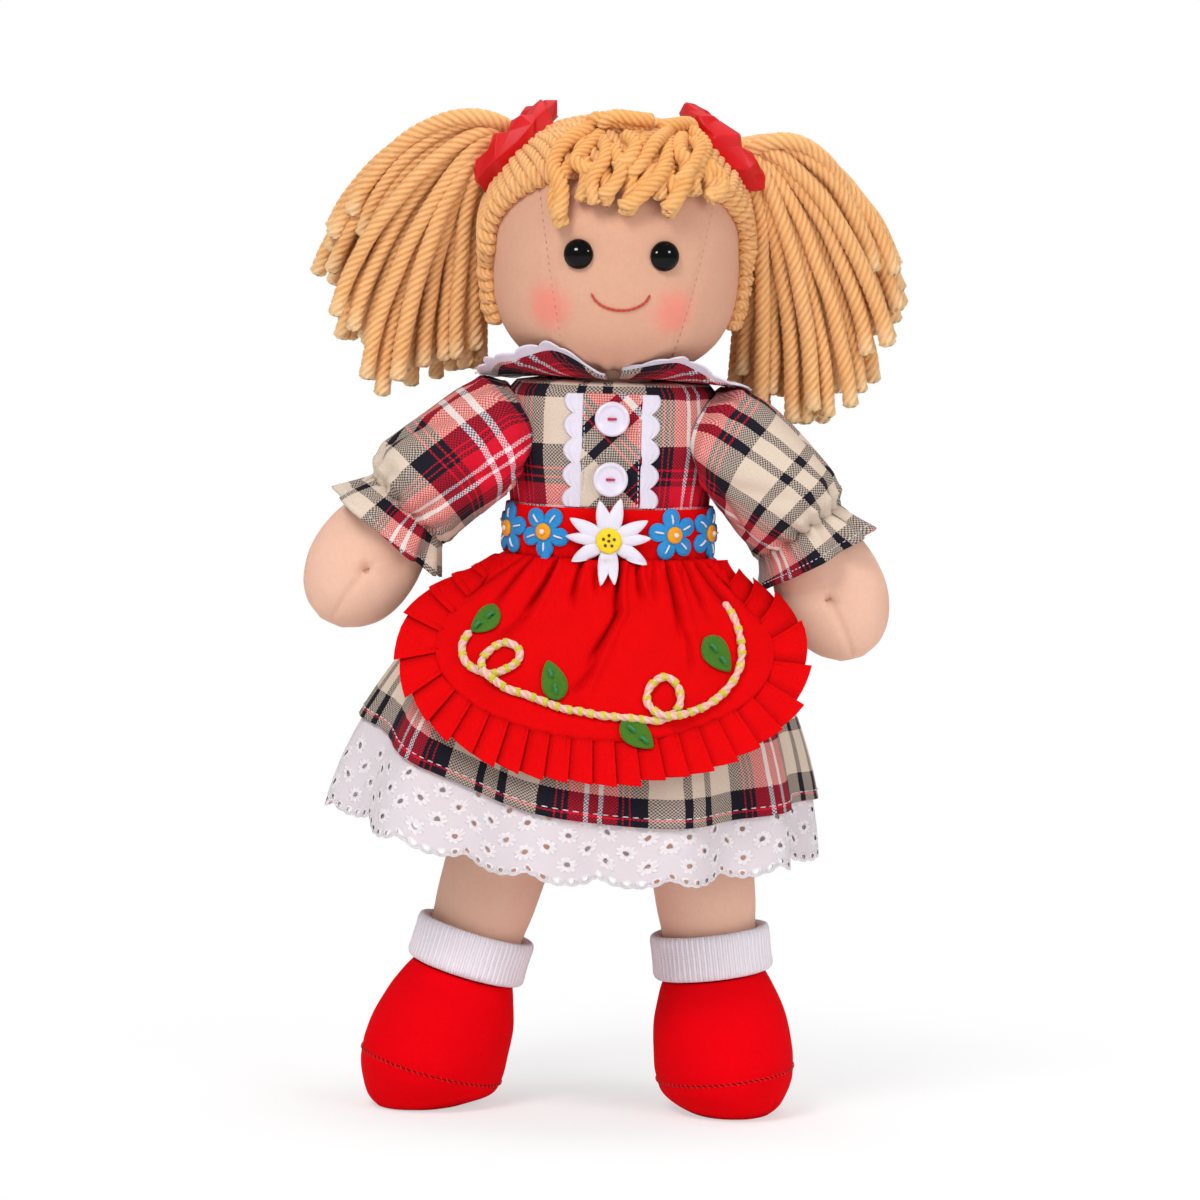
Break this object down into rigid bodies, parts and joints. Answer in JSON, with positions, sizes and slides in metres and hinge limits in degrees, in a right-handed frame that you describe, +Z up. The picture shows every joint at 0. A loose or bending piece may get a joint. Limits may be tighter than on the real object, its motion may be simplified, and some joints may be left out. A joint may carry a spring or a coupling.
{
  "type": "rag doll",
  "caption": "Stuffed cloth doll with yarn hair in two bunches, a plaid dress over an eyelet petticoat, a frilled apron on a flowered waistband, turned-down socks and soft shoes.",
  "frame": {"origin": "on the floor, below the middle of the bounding box of the standing doll", "axes": "+Z up from the soles to the crown, -Y the way the doll faces, +X to the doll's own left"},
  "size_m": [0.2058, 0.1234, 0.346],
  "materials": {
    "skin": "peach cotton jersey",
    "red_cotton": "plain woven cotton",
    "red_jersey": "fine brushed jersey",
    "plaid": "woven plaid cotton in red, black and cream",
    "eyelet": "white cotton with eyelet embroidery",
    "braid": "white ric-rac braid",
    "rib": "white ribbed knit",
    "yarn": "thick plied yarn, golden apricot",
    "black_plastic": "glossy",
    "white_plastic": "satin",
    "washer_plastic": "plain",
    "white_felt": "felt",
    "blue_felt": "felt",
    "gold_felt": "felt",
    "green_felt": "felt",
    "vine_yarn": "couched yarn with yellow stitches",
    "mouth_thread": "stranded embroidery thread"
  },
  "bodies": {
    "torso": {"torso": "skin", "bodice": "plaid", "placket": "plaid", "placket_braid_right": "braid", "placket_braid_left": "braid", "button_upper": "white_plastic", "button_lower": "white_plastic", "collar_right": "plaid", "collar_left": "plaid", "collar_braid_right": "braid", "collar_braid_left": "braid", "petticoat": "eyelet", "dress_skirt": "plaid", "waistband": "red_cotton", "apron_panel": "red_cotton", "apron_ruffle": "red_cotton", "apron_vine": "vine_yarn", "apron_leaf_1": "green_felt", "apron_leaf_2": "green_felt", "apron_leaf_3": "green_felt", "apron_leaf_4": "green_felt", "daisy": "white_felt", "daisy_centre": "gold_felt", "flower_far_right": "blue_felt", "flower_right": "blue_felt", "flower_left": "blue_felt", "flower_far_left": "blue_felt", "flower_centre_far_right": "gold_felt", "flower_centre_right": "gold_felt", "flower_centre_left": "gold_felt", "flower_centre_far_left": "gold_felt"},
    "neck": {"neck": "skin"},
    "head": {"head": "skin", "mouth_thread": "mouth_thread", "hair_cap": "yarn", "fringe": "yarn", "eye_right": "black_plastic", "eye_left": "black_plastic", "eye_washer_right": "washer_plastic", "eye_washer_left": "washer_plastic", "hair_tie_right": "red_cotton", "hair_tie_left": "red_cotton"},
    "bunch_right": {"hair_bunch_right": "yarn"},
    "bunch_left": {"hair_bunch_left": "yarn"},
    "arm_right": {"arm_right": "skin", "sleeve_right": "plaid", "cuff_frill_right": "plaid"},
    "arm_left": {"arm_left": "skin", "sleeve_left": "plaid", "cuff_frill_left": "plaid"},
    "hips": {"hip_seam": "skin"},
    "leg_right": {"leg_right": "skin", "sock_cuff_right": "rib", "shoe_upper_right": "red_jersey", "shoe_sole_right": "red_jersey"},
    "leg_left": {"leg_left": "skin", "sock_cuff_left": "rib", "shoe_upper_left": "red_jersey", "shoe_sole_left": "red_jersey"}
  },
  "joints": [
    {"name": "neck_nod", "type": "hinge", "parent": "torso", "child": "neck", "pos_m": [0.0006, 0.0019, 0.2521], "axis": [1, 0, 0], "range_deg": [-10, 10], "deforming": ["collar_right", "collar_left", "collar_braid_right", "collar_braid_left"]},
    {"name": "head_turn", "type": "hinge", "parent": "neck", "child": "head", "pos_m": [0.0006, 0.0019, 0.2521], "axis": [0, 0, 1], "range_deg": [-20, 20]},
    {"name": "bunch_right_lift", "type": "hinge", "parent": "head", "child": "bunch_right", "pos_m": [-0.0358, 0.0093, 0.3271], "axis": [0, 1, 0], "range_deg": [0, 50], "deforming": ["hair_bunch_right"]},
    {"name": "bunch_left_lift", "type": "hinge", "parent": "head", "child": "bunch_left", "pos_m": [0.0363, 0.0124, 0.3271], "axis": [0, -1, 0], "range_deg": [0, 50], "deforming": ["hair_bunch_left"]},
    {"name": "shoulder_right_swing", "type": "hinge", "parent": "torso", "child": "arm_right", "pos_m": [-0.036, 0.0019, 0.2288], "axis": [-1, 0, 0], "range_deg": [-45, 90], "deforming": ["sleeve_right"]},
    {"name": "shoulder_left_swing", "type": "hinge", "parent": "torso", "child": "arm_left", "pos_m": [0.0372, 0.0019, 0.2288], "axis": [-1, 0, 0], "range_deg": [-45, 90], "deforming": ["sleeve_left"]},
    {"name": "hip_fold", "type": "hinge", "parent": "torso", "child": "hips", "pos_m": [0.0006, 0.0019, 0.14], "axis": [-1, 0, 0], "range_deg": [0, 90], "deforming": ["petticoat", "dress_skirt", "apron_panel", "apron_ruffle", "apron_vine", "apron_leaf_1", "apron_leaf_2", "apron_leaf_3", "apron_leaf_4"]},
    {"name": "leg_right_swing", "type": "hinge", "parent": "hips", "child": "leg_right", "pos_m": [-0.0186, 0.0019, 0.14], "axis": [-1, 0, 0], "range_deg": [-25, 15]},
    {"name": "leg_left_swing", "type": "hinge", "parent": "hips", "child": "leg_left", "pos_m": [0.0278, 0.0019, 0.14], "axis": [-1, 0, 0], "range_deg": [-25, 15]}
  ]
}
